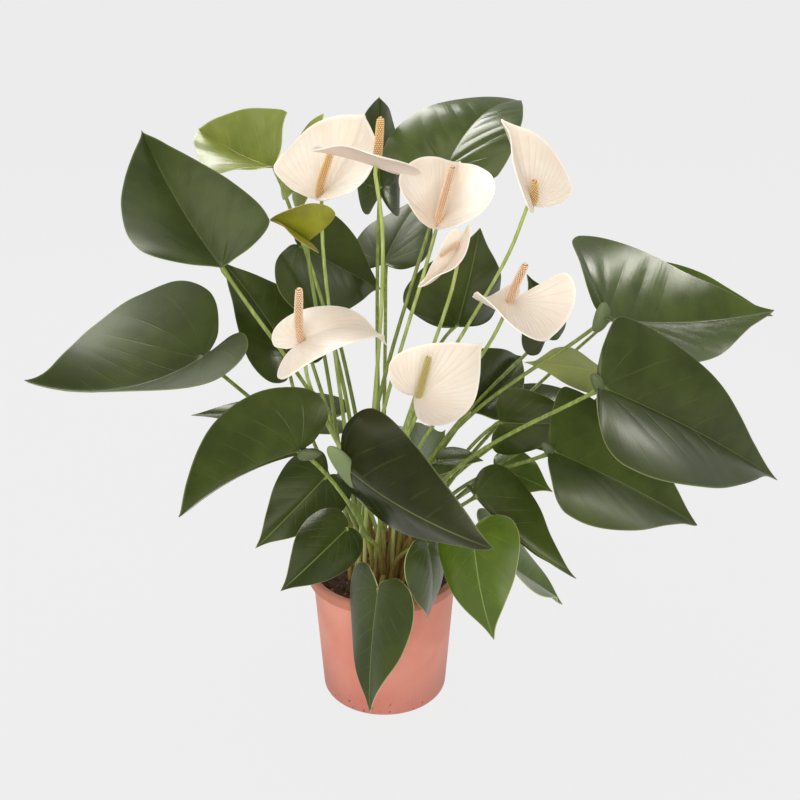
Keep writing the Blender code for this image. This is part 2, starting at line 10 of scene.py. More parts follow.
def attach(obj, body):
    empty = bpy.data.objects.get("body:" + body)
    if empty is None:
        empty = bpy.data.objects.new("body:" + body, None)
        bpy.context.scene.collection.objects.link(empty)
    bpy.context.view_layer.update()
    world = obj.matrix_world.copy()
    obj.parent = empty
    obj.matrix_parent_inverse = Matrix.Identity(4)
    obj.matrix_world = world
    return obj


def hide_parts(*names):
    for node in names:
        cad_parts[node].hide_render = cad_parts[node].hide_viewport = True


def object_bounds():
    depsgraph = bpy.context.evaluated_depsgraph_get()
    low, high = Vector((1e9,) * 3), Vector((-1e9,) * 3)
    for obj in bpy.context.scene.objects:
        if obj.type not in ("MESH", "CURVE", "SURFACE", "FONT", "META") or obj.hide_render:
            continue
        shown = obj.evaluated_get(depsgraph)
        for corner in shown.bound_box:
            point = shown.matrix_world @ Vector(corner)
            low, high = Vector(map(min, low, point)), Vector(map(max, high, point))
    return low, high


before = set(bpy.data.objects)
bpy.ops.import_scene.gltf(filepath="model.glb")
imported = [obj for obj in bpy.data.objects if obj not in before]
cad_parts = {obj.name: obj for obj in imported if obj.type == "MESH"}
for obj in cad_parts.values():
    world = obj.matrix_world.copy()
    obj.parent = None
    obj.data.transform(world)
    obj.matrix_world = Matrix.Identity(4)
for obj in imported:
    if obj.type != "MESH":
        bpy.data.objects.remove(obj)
cadBounds = [list(corner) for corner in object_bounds()]
print("frame loaded:", len(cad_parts), "nodes")


# Node trees

class Link:
    # An output socket. Arithmetic on it adds Math nodes.
    def __init__(self, tree, socket):
        self.tree = tree
        self.socket = socket

    def other(self, name):
        # Another output of the same node
        return Link(self.tree, self.socket.node.outputs[name])

    def maths(self, operation, *values):
        return self.tree.add("ShaderNodeMath", {"operation": operation}, dict(enumerate(values)))

    def __add__(self, other):
        return self.maths("ADD", self, other)

    __radd__ = __add__

    def __sub__(self, other):
        return self.maths("SUBTRACT", self, other)

    def __rsub__(self, other):
        return self.maths("SUBTRACT", other, self)

    def __mul__(self, other):
        return self.maths("MULTIPLY", self, other)

    __rmul__ = __mul__

    def __truediv__(self, other):
        return self.maths("DIVIDE", self, other)

    def __pow__(self, other):
        return self.maths("POWER", self, other)

    def __abs__(self):
        return self.maths("ABSOLUTE", self)

    def fraction(self):
        return self.maths("FRACT", self)

    def rise(self, low, high, start=0.0, stop=1.0):
        # start below low, stop above high, smooth between
        return self.tree.add("ShaderNodeMapRange", {"interpolation_type": "SMOOTHSTEP"},
                             {"Value": self, "From Min": low, "From Max": high,
                              "To Min": start, "To Max": stop})

    def fall(self, low, high):
        return self.rise(low, high, 1.0, 0.0)


class Tree:
    def __init__(self, nodeTree):
        self.nodeTree = nodeTree

    def add(self, kind, settings=None, inputs=None, output=0):
        node = self.nodeTree.nodes.new(kind)
        for key, value in (settings or {}).items():
            if key == "stops":
                self.setStops(node.color_ramp.elements, value)
            elif key == "heights":
                self.setHeights(node.mapping, value)
            else:
                setattr(node, key, value)
        for key, value in (inputs or {}).items():
            self.feed(node.inputs[key], value)
        return Link(self, node.outputs[output])

    def setStops(self, stops, values):
        while len(stops) < len(values):
            stops.new(0.5)
        for stop, (place, colour) in zip(stops, values):
            stop.position = place
            stop.color = (*colour, 1.0)

    def setHeights(self, mapping, values):
        points = mapping.curves[0].points
        while len(points) < len(values):
            points.new(0.5, 0.5)
        for point, value in zip(points, values):
            point.location = value
        mapping.update()

    def feed(self, socket, value):
        if isinstance(value, Link):
            self.nodeTree.links.new(value.socket, socket)
        elif socket.type == "RGBA":
            socket.default_value = (*value, 1.0)
        else:
            socket.default_value = value

    def vector(self, **parts):
        return self.add("ShaderNodeCombineXYZ", None, parts)

    def scaled(self, vector, size):
        return self.add("ShaderNodeVectorMath", {"operation": "SCALE"}, {0: vector, "Scale": size})


class Shader(Tree):
    def __init__(self, name):
        self.material = bpy.data.materials.new(name)
        self.material.use_nodes = True
        super().__init__(self.material.node_tree)
        self.surface = self.nodeTree.nodes["Principled BSDF"]

    def mix(self, share, first, second):
        return self.add("ShaderNodeMix", {"data_type": "RGBA"}, {0: share, 6: first, 7: second}, 2)

    def blend(self, share, first, second):
        return self.add("ShaderNodeMix", {"data_type": "FLOAT"}, {0: share, 2: first, 3: second})

    def value(self, name):
        return self.add("ShaderNodeAttribute", {"attribute_name": name}, output=2)

    def toned(self, colour, **names):
        # Shifts a colour by the hue or tone that its points carry. Where a leaf, ear or bloom is given its
        # own, these are painted light and shade; a stem's tone differs at random
        shifts = {key: self.value(name) for key, name in names.items()}
        return self.add("ShaderNodeHueSaturation", None, {"Color": colour, **shifts})

    def laid(self, colour, look, **masks):
        # Lays a look's named colours over this one, each where its mask shows it
        for name, mask in masks.items():
            colour = self.mix(mask * look[name + "Show"], colour, look[name])
        return colour

    def spots(self):
        return self.add("ShaderNodeTexCoord", output=3)

    def height(self):
        return self.add("ShaderNodeSeparateXYZ", None, {0: self.spots()}, 2)

    def noise(self, scale, detail, rough, stretch=(1, 1, 1)):
        places = self.add("ShaderNodeMapping", None, {"Vector": self.spots(), "Scale": stretch})
        return self.add("ShaderNodeTexNoise", None, {"Vector": places, "Scale": scale, "Detail": detail,
                                                     "Roughness": rough})

    def veinStreaks(self, count):
        return self.add("ShaderNodeTexNoise", {"noise_dimensions": "1D"},
                        {"W": self.value("vein") * count, "Scale": 1.0, "Detail": 2.0})

    def veinMask(self, width):
        # 1 on a side vein, 0 between them
        off = abs((self.value("vein") + 0.5).fraction() - 0.5)
        return off.fall(width * 0.35, width)

    def finish(self, colour, look, relief=None, **inputs):
        # Feeds the surface with the look's own values, those worked out for it, and a bump
        for key, value in {"Base Color": colour, **look["surface"], **inputs}.items():
            self.feed(self.surface.inputs[key], value)
        if relief is not None:
            bump = self.add("ShaderNodeBump", None, {"Height": relief, "Distance": look["relief"]})
            self.feed(self.surface.inputs["Normal"], bump)
        return self.material


class Growth(Tree):
    # A Geometry Nodes group with named inputs
    def __init__(self, name, **inputs):
        super().__init__(bpy.data.node_groups.new(name, "GeometryNodeTree"))
        face = self.nodeTree.interface
        for label, kind in {"Geometry": "Geometry", **inputs, "Material": "Material"}.items():
            face.new_socket(label, in_out="INPUT", socket_type="NodeSocket" + kind)
        face.new_socket("Geometry", in_out="OUTPUT", socket_type="NodeSocketGeometry")
        self.group = self.nodeTree.nodes.new("NodeGroupInput")

    def given(self, name):
        return Link(self, self.group.outputs[name])

    def chance(self, low, high, seed):
        kind, first, output = ("FLOAT_VECTOR", 0, 0) if isinstance(low, tuple) else ("FLOAT", 2, 1)
        return self.add("FunctionNodeRandomValue", {"data_type": kind},
                        {first: low, first + 1: high, "Seed": seed}, output)

    def copies(self, points, shape, turn, scale):
        return self.add("GeometryNodeInstanceOnPoints", None,
                        {"Points": points, "Instance": shape, "Rotation": turn, "Scale": scale})

    def ball(self, subdivisions):
        return self.add("GeometryNodeMeshIcoSphere", None, {"Radius": 1.0, "Subdivisions": subdivisions})

    def moved(self, geometry, offset):
        return self.add("GeometryNodeSetPosition", None, {"Geometry": geometry, "Offset": offset})

    def realized(self, geometry):
        return self.add("GeometryNodeRealizeInstances", None, {0: geometry})

    def close(self, geometry):
        skin = self.add("GeometryNodeSetMaterial", None,
                        {"Geometry": geometry, "Material": self.given("Material")})
        self.feed(self.nodeTree.nodes.new("NodeGroupOutput").inputs[0], skin)
        return self.nodeTree


def grow(thing, tree, **values):
    # Puts a tree on an object and sets its inputs by their identifiers
    modifier = thing.modifiers.new(tree.name, "NODES")
    modifier.node_group = tree
    for item in tree.interface.items_tree:
        if item.in_out == "INPUT" and item.name in values:
            modifier[item.identifier] = values[item.name]


# Meshes and objects

def meshFrom(name, bm):
    mesh = bpy.data.meshes.new(name)
    bm.to_mesh(mesh)
    bm.free()
    return mesh


def mark(mesh, **values):
    # Stores values on the points: one number for all of them, or one for each
    for key, value in values.items():
        spread = np.full(len(mesh.vertices), value, np.float32)
        mesh.attributes.new(key, "FLOAT", "POINT").data.foreach_set("value", spread)


def newPiece(name, mesh, materials=()):
    for material in materials:
        mesh.materials.append(material)
    thing = bpy.data.objects.new(name, mesh)
    bpy.context.collection.objects.link(thing)
    return thing


def bakedMesh(thing):
    graph = bpy.context.evaluated_depsgraph_get()
    return bpy.data.meshes.new_from_object(thing.evaluated_get(graph))


def plainMesh(thing, smoothAngle=50):
    # Turns an object with live modifiers into one with a plain mesh
    mesh = bakedMesh(thing)
    mesh.name = thing.name
    thing.modifiers.clear()
    thing.data = mesh
    mesh.shade_smooth()
    mesh.set_sharp_from_angle(angle=math.radians(smoothAngle))
    return thing


def joined(things, name):
    # One object from several, each keeping its materials
    bpy.ops.object.select_all(action="DESELECT")
    for thing in things:
        thing.select_set(True)
    bpy.context.view_layer.objects.active = things[0]
    bpy.ops.object.join()
    things[0].name = name
    things[0].data.name = name
    return things[0]


def settle(piece, slotName, *nodes):
    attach(piece, "root")
    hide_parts(*nodes)


def fullTurn(count):
    return [2 * math.pi * k / count for k in range(count)]


def tubeMesh(name, rings):
    # A closed skin over rings of points
    bm = bmesh.new()
    layers = [[bm.verts.new(point) for point in ring] for ring in rings]
    for lower, upper in zip(layers, layers[1:]):
        for i in range(len(lower)):
            j = (i + 1) % len(lower)
            bm.faces.new((lower[i], lower[j], upper[j], upper[i]))
    bm.faces.new(layers[0][::-1])
    bm.faces.new(layers[-1])
    return meshFrom(name, bm)


def turnedMesh(name, profile, segments):
    turns = fullTurn(segments)
    rings = [[(r * math.cos(turn), r * math.sin(turn), z) for turn in turns] for r, z in profile]
    return tubeMesh(name, rings)


def smoothCurve(points, count, steps):
    # A Catmull-Rom curve through the points, worked out in steps and read at equal lengths
    points = np.array(points, dtype=float)
    run = np.vstack([2 * points[0] - points[1], points, 2 * points[-1] - points[-2]])
    fine = []
    for before, start, stop, after in zip(run, run[1:], run[2:], run[3:]):
        for t in np.arange(steps) / steps:
            fine.append(0.5 * (2 * start + (stop - before) * t
                               + (2 * before - 5 * start + 4 * stop - after) * t ** 2
                               + (3 * start - before - 3 * stop + after) * t ** 3))
    fine = np.array(fine + [points[-1]])
    reach = np.concatenate([[0], np.cumsum(np.linalg.norm(np.diff(fine, axis=0), axis=1))])
    places = np.linspace(0, reach[-1], count)
    return np.column_stack([np.interp(places, reach, column) for column in fine.T])


# Leaf materials

# Leaf greens: the blade's two tones, its veins, its rim and its underside
leafLooks = {
    "dark": {"blade": (0.052, 0.074, 0.013), "deep": (0.035, 0.05, 0.009), "vein": (0.09, 0.12, 0.028),
             "rib": (0.15, 0.19, 0.055), "rim": (0.16, 0.18, 0.06), "under": (0.11, 0.14, 0.06),
             "rough": 0.24, "coat": 0.05},
    "mid": {"blade": (0.058, 0.084, 0.014), "deep": (0.04, 0.06, 0.011), "vein": (0.11, 0.145, 0.045),
            "rib": (0.19, 0.24, 0.08), "rim": (0.42, 0.4, 0.17), "under": (0.13, 0.17, 0.07),
            "rough": 0.26, "coat": 0.05, "gloss": 0.24},
    "bright": {"blade": (0.11, 0.17, 0.014), "deep": (0.075, 0.125, 0.01), "vein": (0.17, 0.24, 0.04),
               "rib": (0.28, 0.35, 0.08), "rim": (0.45, 0.45, 0.16), "under": (0.18, 0.24, 0.06),
               "rough": 0.33},
    "young": {"blade": (0.295, 0.33, 0.055), "deep": (0.205, 0.25, 0.036), "vein": (0.42, 0.45, 0.13),
              "rib": (0.52, 0.54, 0.18), "rim": (0.6, 0.58, 0.24), "under": (0.38, 0.42, 0.12),
              "rough": 0.32},
    "olive": {"blade": (0.27, 0.27, 0.016), "deep": (0.17, 0.165, 0.014), "vein": (0.4, 0.38, 0.07),
              "rib": (0.48, 0.47, 0.12), "rim": (0.3, 0.22, 0.07), "under": (0.36, 0.35, 0.08),
              "rough": 0.34},
}
leafTint = (1.0, 0.94, 0.68)
leafCommon = {"veinWidth": 0.05, "veinShow": 0.25, "ribShow": 0.6, "rimShow": 0.6, "jointShow": 0.7,
              "rimFrom": 0.982, "relief": 0.0004, "gloss": 0.35, "coat": 0.15, "smoother": 0.05,
              "rougher": 0.07, "streaks": 9, "patches": (22, 4, 0.55), "wear": (35, 2, 0.5),
              "grain": (420, 2, 0.6), "surface": {"Coat Roughness": 0.22, "Specular Tint": leafTint}}
leafBelow = {"rough": 0.5, "coat": 0.0, "veinShow": 0.7}
leafRim = {"surface": {"Roughness": 0.45}}
underDeep = 0.8  # the underside's deep tone against its light one


def leafMaterial(name, look, raised):
    # raised is 1 where the veins stand out, -1 where they are sunk
    shader = Shader(name)
    share = shader.value("share")
    across = shader.value("across")
    worn = shader.noise(*look["wear"]).rise(0.3, 0.6)
    veins = shader.veinMask(look["veinWidth"]) * share.fall(0.6, 0.95) * across.rise(0.0, 0.004) * worn
    midrib = across.fall(0.0003, 0.0011) * share.fall(0.7, 1.1)
    patches = shader.noise(*look["patches"])
    grain = shader.noise(*look["grain"])
    colour = shader.mix(patches.rise(0.35, 0.68), look["deep"], look["blade"])
    # Tone and hue: painted light and shade where a leaf or ear is given its own, lighter on lit ones, darker
    # on shaded ones
    colour = shader.toned(colour, Hue="hue", Value="tone")
    colour = shader.laid(colour, look, vein=veins, rib=midrib, joint=share.fall(0.015, 0.05),
                         rim=share.rise(look["rimFrom"], 1.0))
    streaks = shader.veinStreaks(look["streaks"])
    relief = veins * (0.4 * raised) + midrib * (0.8 * raised) + streaks * 0.2 + grain * 0.06
    rough = shader.blend(patches, look["rough"] - look["smoother"], look["rough"] + look["rougher"])
    return shader.finish(colour, look, relief, **{"Roughness": rough + shader.value("matte"),
                                                  "Coat Weight": look["coat"],
                                                  "Specular IOR Level": look["gloss"]})


def leafSkins(shade):
    look = {**leafCommon, **leafLooks[shade]}
    look["joint"] = look["rib"]
    below = dict(look, blade=look["under"], deep=tuple(underDeep * c for c in look["under"]), **leafBelow)
    rim = Shader("leafRim_" + shade).finish(look["rim"], leafRim)
    return [leafMaterial("leafTop_" + shade, look, -1.0), leafMaterial("leafUnder_" + shade, below, 1.0), rim]


# Blades

skyward = Vector((0.0, -0.5, 0.87)).normalized()
boxMargin = 0.0008  # room for the blades' thickness inside the solids' box
bladeForm = {"arch": math.radians(30), "leastBend": 0.5, "softRib": 0.04, "skewOver": 0.3,
             "ribClear": 0.012, "grooveWidth": 0.0025, "probe": 0.01}
plainTone = {"tone": 1.0, "hue": 0.5, "matte": 0.0}
veinForm = {"bow": 0.35, "slant": 0.75, "leafFan": math.radians(31), "spatheFan": math.radians(9)}

# Half outlines from the tip to the notch: along the midrib in lengths, across in half widths
leafOutline = [(1.00, 0.00), (0.87, 0.14), (0.66, 0.47), (0.42, 0.8), (0.12, 0.99),
               (-0.11, 0.85), (-0.18, 0.48), (-0.11, 0.14), (-0.03, 0.00)]
spatheOutline = [(1.00, 0.00), (0.9, 0.18), (0.7, 0.57), (0.44, 0.87), (0.12, 1.00),
                 (-0.15, 0.86), (-0.26, 0.48), (-0.17, 0.15), (-0.08, 0.00)]
outlineSteps = 24


def readBlade(row, **more):
    # A row that ends early has no skew, or neither fullness nor skew
    keys = ("joint", "tip", "halfWidth", "roll", "bend", "fold", "lobe", "full", "skew")
    return {"full": 0.0, "skew": 0.0, **dict(zip(keys, row)), **more}


def fullOutline(points, full):
    # Draws the outline out towards the tip: 0 as it is, 1 well rounded, below 0 more drawn in
    return [(u, v ** (1 - full / 2) if u > 0 and v > 0 else v) for u, v in points]


def bladeChord(blade):
    return Vector(blade["tip"]) - Vector(blade["joint"])


def bladeAxes(blade):
    along = bladeChord(blade).normalized()
    up = (skyward - along * skyward.dot(along)).normalized()
    side = up.cross(along)
    turn = math.radians(blade["roll"])
    rolled = (along, side * math.cos(turn) - up * math.sin(turn), up * math.cos(turn) + side * math.sin(turn))
    return [np.array(axis) for axis in rolled]


def bladeSurface(blade, u, v):
    along, side, up = bladeAxes(blade)
    least, arch, soft = bladeForm["leastBend"], bladeForm["arch"], bladeForm["softRib"]
    bend = math.radians(blade["bend"] if abs(blade["bend"]) > least else least)
    fold = math.radians(blade["fold"])
    length = bladeChord(blade).length * (bend / 2) / math.sin(bend / 2)
    larger = 1 + blade["skew"] * np.clip(v / bladeForm["skewOver"], -1, 1)
    u = np.where(u < 0, u * blade["lobe"] * larger, u)
    tilt = bend / 2 - bend * u
    reach = blade["halfWidth"] * larger / arch
    spread = np.sqrt(v * v + soft * soft) - soft
    across = np.sign(v) * reach * (math.sin(fold) - np.sin(fold - arch * np.abs(v)))
    lift = reach * (np.cos(fold - arch * spread) - math.cos(fold))
    forward = length / bend * (math.sin(bend / 2) - np.sin(tilt)) - np.sin(tilt) * lift
    rise = length / bend * (np.cos(tilt) - math.cos(bend / 2)) + np.cos(tilt) * lift
    return (np.array(blade["joint"]) + forward[..., None] * along + across[..., None] * side
            + rise[..., None] * up)


def bladeNormals(blade, u, v):
    step = bladeForm["probe"]
    ahead = bladeSurface(blade, u + step, v) - bladeSurface(blade, u - step, v)
    aside = bladeSurface(blade, u, v + step) - bladeSurface(blade, u, v - step)
    out = np.cross(ahead, aside)
    return out / np.linalg.norm(out, axis=-1, keepdims=True)


def veinRun(blade, u, v, spacing, fanned):
    # Counts the side veins: they leave the midrib at a slant, and fan out behind the joint.
    # A spathe's veins all fan out from the joint and bow towards the tip.
    length = bladeChord(blade).length
    x = np.where(u < 0, u * blade["lobe"], u) * length
    y = np.abs(v) * blade["halfWidth"]
    bowed = x - veinForm["bow"] * y * y / blade["halfWidth"]
    root = bowed - veinForm["slant"] * y
    fan = np.arctan2(y, bowed)
    if fanned:
        return fan / veinForm["spatheFan"]
    last = math.atan2(1.0, veinForm["slant"])
    return np.where(root >= 0, root / (spacing * length), (last - fan) / veinForm["leafFan"])


def bladeMesh(name, blade, outline, looks):
    # A fan of rings around the joint, drawn out to the outline
    half = smoothCurve(fullOutline(outline, blade["full"]), looks["around"], outlineSteps)
    loop = np.vstack([half, half[-2:0:-1] * [1, -1]])
    count = len(loop)
    share = np.linspace(0, 1, looks["rings"] + 1)[1:, None] ** 0.9  # closer together towards the rim
    u = share * loop[:, 0]
    v = share * loop[:, 1]
    run = veinRun(blade, u, v, looks["spacing"], looks["fanned"])
    across = np.abs(v) * blade["halfWidth"]
    ripple = blade["wave"] * np.sin(np.array(fullTurn(count)) * blade["waves"] + blade["phase"])
    ease = np.clip(across / bladeForm["ribClear"], 0, 1) * (1 - share ** 6)  # flat at midrib and rim
    uneven = 0.65 + 0.35 * np.sin(2.3 * run + blade["phase"])  # no two fields rise alike
    quilt = looks["quilt"] * uneven * (np.abs(np.sin(math.pi * run)) ** 0.8 - 0.6) * ease
    groove = -looks["groove"] * np.exp(-(across / bladeForm["grooveWidth"]) ** 2) * np.clip(1 - u, 0, 1)
    lift = quilt + groove + ripple * share ** 3
    points = bladeSurface(blade, u, v) + bladeNormals(blade, u, v) * lift[..., None]
    points = np.clip(points, np.array(cadBounds[0]) + boxMargin, np.array(cadBounds[1]) - boxMargin)
    bm = bmesh.new()
    centre = bm.verts.new(blade["joint"])
    layers = [[bm.verts.new(point) for point in ring] for ring in points]
    for i in range(count):
        j = (i + 1) % count
        bm.faces.new((layers[0][i], layers[0][j], centre))
        for inner, outer in zip(layers, layers[1:]):
            bm.faces.new((outer[i], outer[j], inner[j], inner[i]))
    mesh = meshFrom(name, bm)
    grids = {"vein": (0.5, run), "across": (0.0, across), "share": (0.0, share * np.ones(count))}
    mark(mesh, **{key: np.concatenate([[first], grid.ravel()]) for key, (first, grid) in grids.items()})
    mark(mesh, **{key: looks[key] for key in plainTone})
    return mesh


def thickened(name, mesh, thickness, skins):
    # Gives a sheet its thickness: upper skin, underside and rim
    sheet = newPiece(name, mesh, skins)
    shell = sheet.modifiers.new("thickness", "SOLIDIFY")
    shell.thickness = thickness
    shell.offset = 0.0
    shell.use_quality_normals = True
    shell.material_offset = 1
    shell.material_offset_rim = 2
    return plainMesh(sheet)


# Stems

stem = {"sides": 12, "steps": 40, "curveSteps": 12, "footLevel": 0.1153, "cadSides": 5, "taper": 1.4,
        "ribs": 3, "ribDepth": 0.05, "kneeLength": 0.014, "kneeMiddle": 0.5, "kneeSpread": 0.45,
        "sharp": 60}
stemKinds = {"petiole": {"radii": (0.0027, 0.002), "knee": 0.45, "cadRings": 8, "tones": (0.7, 1.1)},
             "stalk": {"radii": (0.0025, 0.0019), "knee": 0.0, "cadRings": 9, "tones": (0.9, 1.1)}}
stemCommon = {"streaks": (260, 2, 0.5, (1, 1, 0.06)), "patches": (30, 3, 0.5), "blushShow": 0.35,
              "footShow": 0.8, "footHeights": (0.15, 0.235), "relief": 0.0004,
              "surface": {"Roughness": 0.38, "Coat Weight": 0.1, "Coat Roughness": 0.3,
                          "Specular Tint": leafTint}}


def stemMaterial(name, **colours):
    look = dict(stemCommon, **colours)
    shader = Shader(name)
    streaks = shader.noise(*look["streaks"])
    patches = shader.noise(*look["patches"])
    colour = shader.mix(streaks.rise(0.35, 0.7), look["deep"], look["light"])
    colour = shader.laid(colour, look, blush=patches.rise(0.55, 0.75))
    colour = shader.toned(colour, Value="tone")
    colour = shader.laid(colour, look, foot=shader.height().fall(*look["footHeights"]))
    return shader.finish(colour, look, streaks * 0.6 + patches * 0.2)


def ringCentres(node, sides, count, start=None):
    # Reads a stem's centre line from its solid, ring by ring from the foot or from a point
    bm = bmesh.new()
    bm.from_mesh(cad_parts[node].data)
    bmesh.ops.remove_doubles(bm, verts=bm.verts, dist=0.00001)

    def distance(vertex):
        return (vertex.co - start).length if start else abs(vertex.co.z - stem["footLevel"])

    ring = set(sorted(bm.verts, key=distance)[:sides])
    seen = set(ring)
    centres = []
    while len(ring) == sides and len(centres) < count:
        centres.append(sum((vertex.co for vertex in ring), Vector()) / sides)
        ring = {edge.other_vert(vertex) for vertex in ring for edge in vertex.link_edges} - seen
        seen |= ring
    bm.free()
    return centres


def smoothLine(points, count):
    return [Vector(place) for place in smoothCurve(points, count, stem["curveSteps"])]


def lineLength(line):
    return sum((b - a).length for a, b in zip(line, line[1:]))


def stemMesh(name, line, foot, top, knee=0.0, tone=1.0):
    # A round stem with ribs, thicker at its foot and swollen in a knee below the blade
    turns = fullTurn(stem["sides"])
    across = Vector((1.0, 0.0, 0.0))
    total = lineLength(line)
    rings = []
    gone = 0.0
    for i, point in enumerate(line):
        forward = (line[min(i + 1, len(line) - 1)] - line[max(i - 1, 0)]).normalized()
        across = (across - forward * across.dot(forward)).normalized()
        third = forward.cross(across)
        gone += (point - line[i - 1]).length if i else 0.0
        radius = foot + (top - foot) * min(1.0, gone / total * stem["taper"])
        below = (total - gone) / stem["kneeLength"]
        radius *= 1 + knee * math.exp(-((below - stem["kneeMiddle"]) / stem["kneeSpread"]) ** 2)
        rings.append([point + radius * (1 + stem["ribDepth"] * math.cos(stem["ribs"] * turn))
                      * (across * math.cos(turn) + third * math.sin(turn)) for turn in turns])
    mesh = tubeMesh(name, rings)
    mark(mesh, tone=tone)
    mesh.shade_smooth()
    mesh.set_sharp_from_angle(angle=math.radians(stem["sharp"]))
    return mesh


def stemPiece(name, node, joint, kind):
    # Draws a petiole or a stalk along its solid, up to the blade's joint
    form = stemKinds[kind]
    line = smoothLine(ringCentres(node, stem["cadSides"], form["cadRings"]) + [Vector(joint)], stem["steps"])
    mesh = stemMesh(node, line, *form["radii"], form["knee"], dice.uniform(*form["tones"]))
    return newPiece(name, mesh, [stemSkins[kind]])


stemSkins = {
    "petiole": stemMaterial("petioleGreen", light=(0.33, 0.41, 0.09), deep=(0.19, 0.255, 0.045),
                            blush=(0.26, 0.26, 0.08), foot=(0.46, 0.27, 0.085)),
    "stalk": stemMaterial("stalkGreen", light=(0.48, 0.56, 0.17), deep=(0.3, 0.38, 0.085),
                          blush=(0.38, 0.36, 0.12), foot=(0.52, 0.4, 0.17)),
}
skins = {shade: leafSkins(shade) for shade in leafLooks}
print("leaf and stem materials made")


# Leaves: joint with the stem, tip, half width, roll, bend, fold, lobe, fullness, skew
leafTable = {
    "upper_left": ((-0.155, -0.05, 0.52), (-0.25, 0.09, 0.62), 0.08, -5, -35, 45, 0.4, 0.65, 0.15),
    "far_left": ((-0.18, -0.05, 0.425), (-0.33, -0.145, 0.44), 0.11, -25, -55, 30, 1.5, 0.15, -0.15),
    "behind_upper_left": ((-0.105, 0.07, 0.38), (-0.18, 0.12, 0.47), 0.055, -15, 25, 25, 1.0),
    "lower_left": ((-0.08, -0.13, 0.36), (-0.18, -0.225, 0.34), 0.057, 85, -35, -30, 1.1, 0.7, -0.2),
    "behind_lower_left": ((-0.07, 0.13, 0.275), (-0.225, 0.125, 0.28), 0.057, -30, 10, 20, 1.0),
    "middle_left": ((-0.09, 0.095, 0.495), (-0.005, 0.155, 0.425), 0.064, -40, 5, 35, 1.1, 0.15, -0.25),
    "young_folded": ((-0.075, 0.0, 0.53), (-0.11, -0.01, 0.555), 0.039, 15, 25, 65, 0.3, 0.7, -0.1),
    "lime_top": ((-0.115, 0.1, 0.58), (-0.21, 0.215, 0.595), 0.062, 15, -30, 50, 0.3, 1.0),
    "lime_behind": ((-0.1, 0.14, 0.545), (-0.065, 0.155, 0.625), 0.037, 35, 25, 10, 1.0, 0.6),
    "top_centre": ((-0.005, 0.175, 0.54), (-0.005, 0.165, 0.64), 0.038, -5, -80, -35, 1.4, 0.45, -0.05),
    "back_top": ((0.065, 0.1, 0.58), (0.155, 0.235, 0.62), 0.075, 15, 60, 15, 0.4, 0.2, 0.1),
    "back_centre": ((0.0, 0.165, 0.455), (0.045, 0.25, 0.505), 0.057, 25, 25, 15, 0.6, 0.3),
    "centre_back": ((0.08, 0.08, 0.41), (0.1, 0.045, 0.53), 0.062, -40, 15, -15, 0.4, 0.25, 0.1),
    "right_upper": ((0.225, -0.03, 0.46), (0.44, 0.13, 0.41), 0.09, -5, -25, 30, 0.6, 0.1, 0.1),
    "right_big": ((0.205, -0.15, 0.435), (0.4, -0.075, 0.3), 0.088, -10, 15, 35, 0.4, 0.05, -0.15),
    "right_hidden": ((0.305, 0.23, 0.395), (0.47, 0.23, 0.365), 0.045, -25, 20, 10, 1.0),
    "right_middle": ((0.17, -0.09, 0.34), (0.33, -0.06, 0.24), 0.087, 5, 10, 30, 0.4, 0.1, -0.1),
    "right_inner": ((0.125, -0.01, 0.335), (0.22, 0.005, 0.33), 0.043, -70, 20, 10, 0.5),
    "inner_right": ((0.095, 0.06, 0.32), (0.16, 0.165, 0.34), 0.05, -20, 10, 50, 0.45, 0.4, 0.1),
    "pale_folded": ((0.235, 0.04, 0.37), (0.145, -0.015, 0.405), 0.036, -160, -20, 50, 0.65, 0.0, 0.3),
    "behind_bloom": ((0.18, 0.1, 0.39), (0.155, 0.09, 0.465), 0.034, 0, 20, 10, 1.0),
    "front_centre": ((-0.035, -0.17, 0.365), (0.1, -0.27, 0.335), 0.055, -65, 35, -10, 0.45, 0.5, 0.2),
    "low_left": ((-0.06, -0.06, 0.295), (-0.13, -0.1, 0.235), 0.04, 35, 20, 0, 1.0),
    "low_left_front": ((-0.035, -0.14, 0.28), (-0.095, -0.205, 0.25), 0.04, 30, 25, -20, 0.9, 0.1),
    "front_hanging": ((-0.005, -0.115, 0.195), (-0.015, -0.14, 0.06), 0.052, -45, 10, 5, 0.8),
    "front_small": ((0.045, -0.1, 0.24), (0.045, -0.085, 0.135), 0.045, 65, 30, 5, 0.9),
    "front_bright": ((0.09, -0.13, 0.27), (0.11, -0.175, 0.175), 0.049, -40, 30, 5, 0.8, 0.1),
    "low_right": ((0.095, -0.09, 0.29), (0.195, -0.125, 0.215), 0.051, -65, 35, -45, 0.85),
    "low_right_behind": ((0.115, -0.06, 0.205), (0.2, -0.01, 0.11), 0.062, 25, 0, 30, 0.9),
    "edge_on": ((0.06, -0.01, 0.29), (0.105, -0.03, 0.3), 0.022, 10, 20, 10, 1.0),
    "inner_green": ((0.05, 0.05, 0.25), (0.07, 0.13, 0.26), 0.042, -45, -20, 25, 0.85, -0.2, 0.3),
    "pale_striped": ((0.125, 0.02, 0.265), (0.18, -0.025, 0.26), 0.033, -5, 20, 10, 1.2),
    "back_low": ((0.01, 0.15, 0.24), (0.03, 0.27, 0.19), 0.055, 10, 35, 10, 1.0),
    "back_right": ((0.18, 0.17, 0.26), (0.3, 0.26, 0.19), 0.05, -10, 35, 10, 1.0),
}
